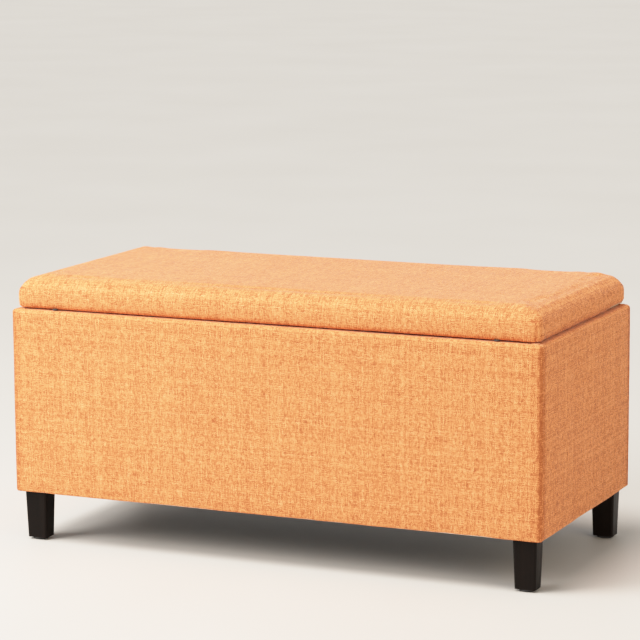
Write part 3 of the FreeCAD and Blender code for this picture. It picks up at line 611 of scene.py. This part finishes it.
def moveBody(vert):
    x, y, z = vert.co
    outside = abs(x) > outerX or abs(y) > outerY
    normal = vert.normal
    middle = (hemZ + rimZ) / 2
    halfZ = (rimZ - hemZ) / 2
    upDown = max(0.0, 1 - ((z - middle) / halfZ) ** 4)
    onFront = abs(normal.y) > 0.8 and outside
    onEnd = abs(normal.x) > 0.8 and outside
    push = 0.0
    if onFront:
        push = boxCover["bulge"] * upDown * max(0.0, 1 - (x / halfX) ** 6)
        push += boxCover["sway"] * wave(x, y, z, 5.5, 3.1) * upDown
        push += 0.25 * mm * wave(x, y, z, 38, 1.7) * upDown
    elif onEnd:
        push = 0.8 * boxCover["bulge"] * upDown * max(0.0, 1 - (y / seamY) ** 6)
        push += boxCover["sway"] * wave(x, y, z, 6.5, 8.3) * upDown
        push += 0.25 * mm * wave(x, y, z, 38, 4.7) * upDown
    if onFront and y < 0:
        push -= creaseDepth(x, z)
    vert.co += normal * push
    low = max(0.0, 1 - (z - hemZ) / 0.045)
    vert.co.z += boxCover["hemWave"] * low * (0.6 * wave(x, y, 0, 9, 5.5) + 0.4 * wave(x, y, 0, 31, 2.5))
    high = max(0.0, 1 - (rimZ - z) / 0.03)
    vert.co.z += 0.35 * mm * high * wave(x, y, 0, 14, 7.5)
    beyond = abs(y) - seamY
    if abs(x) > halfX - 0.004 and z < rimZ - 0.002:
        vert.co.x -= math.copysign(boxCover["seamDepth"] * fade(beyond, 1.7 * mm), x)
        vert.co.x += math.copysign(0.35 * mm * fade(beyond - 4 * mm, 4 * mm), x)


# Which of the four cover pieces a face belongs to.

def coverOwner(face):
    point = face.calc_center_median()
    onEnd = abs(point.y) < seamY and abs(point.x) > innerRimX - 0.0005
    if onEnd:
        return "right" if point.x > 0 else "left"
    return "front" if point.y < 0 else "back"


# Gives each face corner its weave place, and each point its painted shade.

def paintCloth(mesh, placeOf, shadeOf):
    uvLayer = mesh.loops.layers.uv.new("weave")
    shadeLayer = mesh.verts.layers.float.new("paintedClothShade")
    for vert in mesh.verts:
        vert[shadeLayer] = shadeOf(vert.co)
    for face in mesh.faces:
        middle = face.calc_center_median()
        for loop in face.loops:
            inside = loop.vert.co.lerp(middle, 0.02)
            loop[uvLayer].uv = placeOf(inside, face.normal)


sleeve.normal_update()
paintCloth(sleeve, bodyUv, bodyShade)
ownerLayer = sleeve.faces.layers.int.new("owner")
ownerNames = ["front", "back", "left", "right"]
for face in sleeve.faces:
    face[ownerLayer] = ownerNames.index(coverOwner(face))
for vert in sleeve.verts:
    moveBody(vert)

for number, side in enumerate(ownerNames):
    part = sleeve.copy()
    layer = part.faces.layers.int["owner"]
    others = [face for face in part.faces if face[layer] != number]
    bmesh.ops.delete(part, geom=others, context="FACES")
    piece = newPiece(f"{side}Cover", part, clothMaterial, "box", (f"{side}_cover",))
    thicken = piece.modifiers.new("cloth", "SOLIDIFY")
    thicken.thickness = boxCover["clothThickness"]
    thicken.offset = -1.0
sleeve.free()
print("covers made")


# The lid's cushion: foam and cover as one crowned form over the board.

lidLow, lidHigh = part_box("lid_cover")
lid = {
    "topRadius": 28 * mm,
    "cornerRadius": 10 * mm,
    "underRadius": 3 * mm,
    "startSides": 0.8 * mm,
    "startTop": 1.6 * mm,
    "voxel": 7 * mm,
    "pressure": 4.0,
    "frames": 20,
    "mostUp": 3.2 * mm,
    "mostOut": 1.6 * mm,
    "cornerReach": 32 * mm,
    "mostIn": 0.4 * mm,
    "mostAside": 1.5 * mm,
    "droop": 5 * mm,
    "droopWidth": 14 * mm,
    "rimGap": 0.5 * mm,
    "pleatTop": 34 * mm,
    # the cloth lies flat over this much next to the hinges
    "backBand": 60 * mm,
}
lidHalfX = lidHigh.x
lidHalfY = lidHigh.y


def lidCorner(edge):
    ends = edge.verts
    sameReach = all(abs((lidHalfX - abs(vert.co.x)) - (lidHalfY - abs(vert.co.y))) < 1e-5 for vert in ends)
    return sameReach and all(abs(vert.co.x) > lidHalfX - 0.03 for vert in ends)


# The lid a little smaller than its finished size, because the cloth swells.

def makeLidBase():
    inside = lid["startSides"]
    top = lidHigh.z - lid["startTop"]
    mesh = boxMesh((-lidHalfX + inside, -lidHalfY + inside, lidLow.z), (lidHalfX - inside, lidHalfY - inside, top))
    roundEdges(mesh, levelAt(top), lid["topRadius"], 8)
    roundEdges(mesh, lidCorner, lid["cornerRadius"], 5)
    roundEdges(mesh, levelAt(lidLow.z), lid["underRadius"], 3)
    bmesh.ops.remove_doubles(mesh, verts=mesh.verts, dist=1e-5)
    bmesh.ops.recalc_face_normals(mesh, faces=mesh.faces)
    return mesh


# Bakes a piece's modifiers into its mesh.

def applyModifiers(piece):
    graph = bpy.context.evaluated_depsgraph_get()
    made = bpy.data.meshes.new_from_object(piece.evaluated_get(graph))
    piece.modifiers.clear()
    old = piece.data
    piece.data = made
    bpy.data.meshes.remove(old)


# Inflates the cushion as cloth, stapled under its edge. The board stops its sides from going in.

def swell(piece, settings, isHeld):
    remesh = piece.modifiers.new("remesh", "REMESH")
    remesh.mode = "VOXEL"
    remesh.voxel_size = settings["voxel"]
    applyModifiers(piece)
    before = [(vert.co.copy(), vert.normal.copy()) for vert in piece.data.vertices]
    held = piece.vertex_groups.new(name="held")
    held.add([vert.index for vert in piece.data.vertices if isHeld(vert.co)], 1.0, "REPLACE")
    cloth = piece.modifiers.new("cloth", "CLOTH")
    cloth.settings.use_pressure = True
    cloth.settings.uniform_pressure_force = settings["pressure"]
    cloth.settings.effector_weights.gravity = 0.0
    cloth.settings.vertex_group_mass = "held"
    cloth.settings.tension_stiffness = 40
    cloth.settings.compression_stiffness = 40
    cloth.settings.bending_stiffness = 2.0
    cloth.settings.quality = 4
    cloth.point_cache.frame_end = settings["frames"]
    for frameNumber in range(1, settings["frames"] + 1):
        scene.frame_set(frameNumber)
    applyModifiers(piece)
    scene.frame_set(1)
    piece.vertex_groups.clear()
    for vert, (start, normal) in zip(piece.data.vertices, before):
        move = vert.co - start
        most = settings["mostOut"] + (settings["mostUp"] - settings["mostOut"]) * max(0.0, normal.z) ** 2
        outward = min(most, max(-settings["mostIn"], move.dot(normal)))
        aside = move - normal * move.dot(normal)
        if aside.length > settings["mostAside"]:
            aside = aside.normalized() * settings["mostAside"]
        vert.co = start + normal * outward + aside


# Weave place on the lid: the yarns run over the top and down each face.

def lidUv(point, normal):
    drop = arcLength(max(0.0, lidHigh.z - point.z), lid["topRadius"])
    overX = abs(point.x) - (lidHalfX - lid["topRadius"])
    overY = abs(point.y) - (lidHalfY - lid["topRadius"])
    if normal.z < -0.7:
        return point.x + 5.0, point.y
    if abs(normal.y) > abs(normal.x) and overY > 0:
        return point.x, math.copysign(lidHalfY - lid["topRadius"] + drop, point.y)
    if abs(normal.x) > abs(normal.y) and overX > 0:
        return math.copysign(lidHalfX - lid["topRadius"] + drop, point.x), point.y
    return point.x, point.y


# The cloth is pulled down over the foam's corners, so they are softer than its edges.

def quarterRound(share):
    return math.sqrt(1 - (1 - min(1.0, max(0.0, share))) ** 2)


def softenLidCorner(point):
    flank = lidHigh.z - lid["topRadius"]
    shareX = quarterRound((lidHalfX - abs(point.x)) / lid["cornerReach"])
    shareY = quarterRound((lidHalfY - abs(point.y)) / lid["cornerReach"])
    if point.z > flank:
        point.z = flank + (point.z - flank) * (0.45 + 0.55 * max(shareX, shareY))


def atLidCorner(point, reach):
    return abs(point.x) > lidHalfX - reach and abs(point.y) > lidHalfY - reach


def acrossLidCorner(point):
    return (lidHalfY - abs(point.y)) - (lidHalfX - abs(point.x))


# Painted shade in the corner pleats and just above the gap, where the cloth lies in shadow.

def lidShade(point):
    shade = 0.12 * fade(point.z - lidLow.z, 5 * mm)
    if atLidCorner(point, 0.02) and point.z < lidLow.z + lid["pleatTop"]:
        shade += 0.25 * fade(acrossLidCorner(point) + 4 * mm, 3 * mm)
        shade += 0.4 * fade(point.z - lidLow.z - lid["pleatTop"], 3 * mm)
    return shade


# Presses a pleat into each corner: a short deep pocket above a narrow fold.

def sewLidCorner(mesh):
    pleatTop = lidLow.z + lid["pleatTop"]
    for vert in mesh.verts:
        if not atLidCorner(vert.co, 0.03) or vert.co.z < lidLow.z + 0.001:
            continue
        z = vert.co.z
        inward = Vector((-math.copysign(1, vert.co.x), -math.copysign(1, vert.co.y), 0)).normalized()
        fold = 0.0
        if z < pleatTop:
            fold = 1.1 * mm * fade(acrossLidCorner(vert.co) + 4 * mm, 2.6 * mm)
            fold *= 1 + 0.8 * fade(z - lidLow.z - 7 * mm, 4 * mm)
        pocket = 1.8 * mm * fade(z - pleatTop, 3 * mm) * fade(acrossLidCorner(vert.co), 11 * mm)
        vert.co += inward * (fold + pocket)


# The cloth hangs a little below the board along the front and the ends, close to the box's rim.

def droopAt(point):
    fromEdge = min(lidHalfX - abs(point.x), lidHalfY + point.y)
    toBack = lidHalfY - lid["backBand"] - point.y
    if toBack < 0 or fromEdge > lid["droopWidth"]:
        return 0.0
    nearBack = min(1.0, toBack / 0.04)
    return lid["droop"] * fade(max(0.0, fromEdge - 4 * mm), lid["droopWidth"] - 4 * mm) * nearBack


cushion = newPiece("lidCushion", makeLidBase(), clothMaterial, "lid", ("lid_cover", "lid_foam"))
swell(cushion, lid, lambda point: point.z < lidLow.z + 6 * mm)
shape = bmesh.new()
shape.from_mesh(cushion.data)
for vert in shape.verts:
    softenLidCorner(vert.co)
    x, y, z = vert.co
    if z > lidHigh.z - 0.012:
        vert.co.z += 0.5 * mm * wave(x, y, 0, 5.5, 6.2) + 0.2 * mm * wave(x, y, 0, 30, 1.2)
    elif z > lidLow.z + 0.004:
        vert.co += vert.normal * (0.4 * mm * wave(x, y, z, 8, 2.9) + 0.25 * mm * wave(x, y, z, 30, 3.9))
    if z < lidLow.z + 0.0015:
        vert.co.z = lidLow.z
    if z < lidLow.z + 0.010:
        droop = droopAt(vert.co) * (1 + 0.15 * wave(x, y, 0, 12, 9.1)) * fade(z - lidLow.z, 10 * mm)
        vert.co.z = max(vert.co.z - droop, rimZ + lid["rimGap"])
cornerEdges = [edge for edge in shape.edges if all(atLidCorner(vert.co, 0.03) for vert in edge.verts)]
bmesh.ops.subdivide_edges(shape, edges=cornerEdges, cuts=3, use_grid_fill=True, smooth=0.0)
sewLidCorner(shape)
shape.normal_update()
paintCloth(shape, lidUv, lidShade)
shape.to_mesh(cushion.data)
shape.free()
cushion.data.shade_smooth()
finer = cushion.modifiers.new("finer", "SUBSURF")
finer.levels = 1
finer.render_levels = 1
print("lid cushion made:", len(cushion.data.polygons), "faces before subdivision")


# Black lining cloths.

# The lining inside the box, stuck to the panels and a little slack.

innerLining = {
    "clear": 0.3 * mm,
    "floorClear": 0.2 * mm,
    "cornerRadius": 7 * mm,
    "floorRadius": 5 * mm,
    "loopSpacing": 16 * mm,
    "looseSlack": 1.5 * mm,
    "fineSlack": 0.7 * mm,
    "thickness": 0.5 * mm,
}


def makeBoxLining():
    low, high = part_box("box_lining")
    gap = innerLining["clear"]
    floor = low.z + innerLining["floorClear"]
    mesh = boxMesh((low.x + gap, low.y + gap, floor), (high.x - gap, high.y - gap, high.z))
    top = [face for face in mesh.faces if face.calc_center_median().z > high.z - 1e-4]
    bmesh.ops.delete(mesh, geom=top, context="FACES_ONLY")
    roundEdges(mesh, upright, innerLining["cornerRadius"], 3)
    roundEdges(mesh, levelAt(floor), innerLining["floorRadius"], 3)
    for axis in range(3):
        sliceAt(mesh, axis, steps(low[axis], high[axis], innerLining["loopSpacing"]))
    bmesh.ops.recalc_face_normals(mesh, faces=mesh.faces)
    mesh.normal_update()
    brackets = [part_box(f"{side}_strut_box_bracket") for side in ("left", "right")]
    for vert in mesh.verts:
        x, y, z = vert.co
        clear = 1.0
        for bracketLow, bracketHigh in brackets:
            away = max(bracketLow.y - y, y - bracketHigh.y, bracketLow.z - z, z - bracketHigh.z, 0.0)
            if abs(x) > 0.4 and x * bracketLow.x > 0:
                clear = min(1.0, away / 0.05)
        loose = 0.5 + 0.5 * wave(x, y, z, 9, 2.2)
        fine = 0.5 + 0.5 * wave(x, y, z, 34, 5.2)
        pull = (innerLining["looseSlack"] * loose * loose + innerLining["fineSlack"] * fine) * clear
        atTop = min(1.0, (high.z - z) / 0.01)
        vert.co -= vert.normal * pull * atTop
    return mesh


boxLining = newPiece("boxLining", makeBoxLining(), liningMaterial, "box", ("box_lining",))
thicken = boxLining.modifiers.new("cloth", "SOLIDIFY")
thicken.thickness = innerLining["thickness"]
thicken.offset = -1.0


# A thin sheet with a folded edge, drawn tight at its edge and slack in the middle.

flatLining = {
    "hemFold": 12 * mm,
    "foldRise": 0.25 * mm,
    "thickness": 0.4 * mm,
    "inset": 0.35 * mm,
    "ripple": 0.2 * mm,
}


def makeFlatLining(node, sag, clearOf):
    low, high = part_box(node)
    mesh = bmesh.new()
    bmesh.ops.create_grid(mesh, x_segments=60, y_segments=30, size=0.5)
    size = high - low
    bmesh.ops.scale(mesh, vec=(size.x, size.y, 1), verts=mesh.verts)
    bmesh.ops.translate(mesh, vec=((low.x + high.x) / 2, (low.y + high.y) / 2, 0), verts=mesh.verts)
    edge = min(size.x, size.y)
    hemFold = flatLining["hemFold"]
    sliceAt(mesh, 0, [low.x + hemFold, high.x - hemFold])
    sliceAt(mesh, 1, [low.y + hemFold, high.y - hemFold])
    for vert in mesh.verts:
        x, y, _ = vert.co
        inward = min(x - low.x, high.x - x, y - low.y, high.y - y)
        clear = min([1.0] + [max(0.0, math.hypot(x - px, y - py) - reach) / 0.05 for px, py, reach in clearOf])
        slack = min(1.0, inward / (0.35 * edge))
        slack = slack * slack * (3 - 2 * slack)
        ripple = wave(x, y, 0, 16, 4.4) * min(1.0, inward / 0.02)
        fold = flatLining["foldRise"] * fade(inward - hemFold, 1.5 * mm)
        drop = (sag * slack + flatLining["ripple"] * (1 + ripple)) * clear
        vert.co.z = high.z - flatLining["inset"] - drop + fold * 0.5
    bmesh.ops.recalc_face_normals(mesh, faces=mesh.faces)
    return mesh


legSpots = [(x, y, 0.045) for x in (-0.4475, 0.4475) for y in (-0.1935, 0.1935)]
bracketSpots = []
for side in ("left", "right"):
    bracketLow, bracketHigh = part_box(f"{side}_strut_lid_bracket")
    bracketSpots.append(((bracketLow.x + bracketHigh.x) / 2, (bracketLow.y + bracketHigh.y) / 2, 0.04))
flatLinings = (
    ("dustCover", "dust_cover", "box", "front_rail", 3.5 * mm, legSpots),
    ("lidLining", "lid_lining", "lid", "lid_board", 1.2 * mm, bracketSpots),
)
for name, node, body, board, sag, clearOf in flatLinings:
    low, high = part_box(node)
    piece = newPiece(name, makeFlatLining(node, sag, clearOf), liningMaterial, body, (node,))
    thicken = piece.modifiers.new("cloth", "SOLIDIFY")
    thicken.thickness = flatLining["thickness"]
    thicken.offset = 0.0
print("linings made")


# Staples round the edges of the two flat linings.

staple = {"crown": 11 * mm, "wire": 0.9 * mm, "depth": 0.55 * mm, "spacing": 55 * mm, "inset": 6 * mm}


def makeStaples(low, high, level):
    mesh = bmesh.new()
    rows = []
    for y in (low.y + staple["inset"], high.y - staple["inset"]):
        rows += [(x, y, 0.0) for x in steps(low.x, high.x, staple["spacing"])]
    for x in (low.x + staple["inset"], high.x - staple["inset"]):
        rows += [(x, y, math.pi / 2) for y in steps(low.y, high.y, staple["spacing"])]
    for x, y, turn in rows:
        turn += random.uniform(-0.25, 0.25)
        place = Matrix.Translation((x + random.uniform(-2, 2) * mm, y + random.uniform(-1.5, 1.5) * mm, level))
        shapeOf = Matrix.Diagonal((staple["crown"], staple["wire"], staple["depth"], 1))
        made = bmesh.ops.create_cube(mesh, size=1.0, matrix=place @ Matrix.Rotation(turn, 4, "Z") @ shapeOf)
        edges = {edge for vert in made["verts"] for edge in vert.link_edges}
        bmesh.ops.bevel(mesh, geom=list(edges), offset=0.15 * mm, offset_type="OFFSET", affect="EDGES", segments=1,
                        profile=0.5, material=-1)
    return mesh


for name, node, body in (("baseStaples", "dust_cover", "box"), ("lidStaples", "lid_lining", "lid")):
    low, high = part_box(node)
    level = low.z + 0.05 * mm if node == "lid_lining" else low.z + 0.15 * mm
    newPiece(name, makeStaples(low, high, level), zincMaterial, body)
print("staples made")


# Floor, lights and camera.

def makeFloor():
    mesh = bmesh.new()
    bmesh.ops.create_grid(mesh, x_segments=1, y_segments=1, size=60.0)
    data = bpy.data.meshes.new("floor")
    mesh.to_mesh(data)
    mesh.free()
    floor = bpy.data.objects.new("floor", data)
    scene.collection.objects.link(floor)
    material, tree, shader = newMaterial("paleFloor", Roughness=0.55)
    clouds = noiseAt(tree, objectPlace(tree), 1.5, 4.0, 0.5)
    color = mixColor(tree, clouds, (0.5, 0.47, 0.43, 1), (0.56, 0.53, 0.49, 1))
    tree.links.new(color, shader.inputs["Base Color"])
    data.materials.append(material)


def addArea(name, place, target, width, height, power, color):
    data = bpy.data.lights.new(name, "AREA")
    data.shape = "RECTANGLE"
    data.size = width
    data.size_y = height
    data.energy = power
    data.color = color
    light = bpy.data.objects.new(name, data)
    scene.collection.objects.link(light)
    light.location = place
    light.rotation_euler = (Vector(target) - Vector(place)).to_track_quat("-Z", "Y").to_euler()


def addSun(name, direction, strength, angle, color):
    data = bpy.data.lights.new(name, "SUN")
    data.energy = strength
    data.angle = math.radians(angle)
    data.color = color
    light = bpy.data.objects.new(name, data)
    scene.collection.objects.link(light)
    light.rotation_euler = Vector(direction).to_track_quat("-Z", "Y").to_euler()


makeFloor()
addArea("windowLight", (-1.9, -1.8, 1.6), (0, 0, 0.25), 1.6, 1.4, 122, (1.0, 0.98, 0.95))
addSun("softDaylight", (0.3, 0.38, -1.35), 4.1, 28, (1.0, 0.99, 0.97))
addArea("fillLight", (3.0, -1.2, 1.5), (0, 0, 0.3), 2.0, 2.0, 40, (1.0, 0.84, 0.62))
world = bpy.data.worlds.new("studio")
world.use_nodes = True
world.node_tree.nodes["Background"].inputs[0].default_value = (1.0, 0.985, 0.96, 1)
world.node_tree.nodes["Background"].inputs[1].default_value = 0.62
scene.world = world


# A soft shoulder, so that bright cloth keeps its weave instead of clipping.

def softenHighlights():
    view = scene.view_settings
    view.view_transform = "Standard"
    view.use_curve_mapping = True
    mapping = view.curve_mapping
    mapping.white_level = (2.5, 2.5, 2.5)
    curve = mapping.curves[3]
    shoulder = ((0.1, 0.24), (0.16, 0.371), (0.24, 0.523), (0.3, 0.625), (0.4, 0.76), (0.5, 0.85), (0.6, 0.905),
                (0.75, 0.955))
    for level, shown in shoulder:
        curve.points.new(level, shown)
    mapping.update()


softenHighlights()

viewpoint = {
    "place": (1.93188, -4.26713, 1.162),
    "yaw": 0.42563,
    "pitch": 0.16527,
    "roll": -0.0062,
    "lens": 156.4,
}


def addCamera():
    data = bpy.data.cameras.new("camera")
    data.sensor_width = 36
    data.lens = viewpoint["lens"]
    camera = bpy.data.objects.new("camera", data)
    scene.collection.objects.link(camera)
    turn = Matrix.Rotation(viewpoint["yaw"], 4, "Z") @ Matrix.Rotation(math.pi / 2 - viewpoint["pitch"], 4, "X")
    camera.matrix_world = Matrix.Translation(viewpoint["place"]) @ turn @ Matrix.Rotation(viewpoint["roll"], 4, "Z")
    scene.camera = camera


addCamera()
print("scene staged")
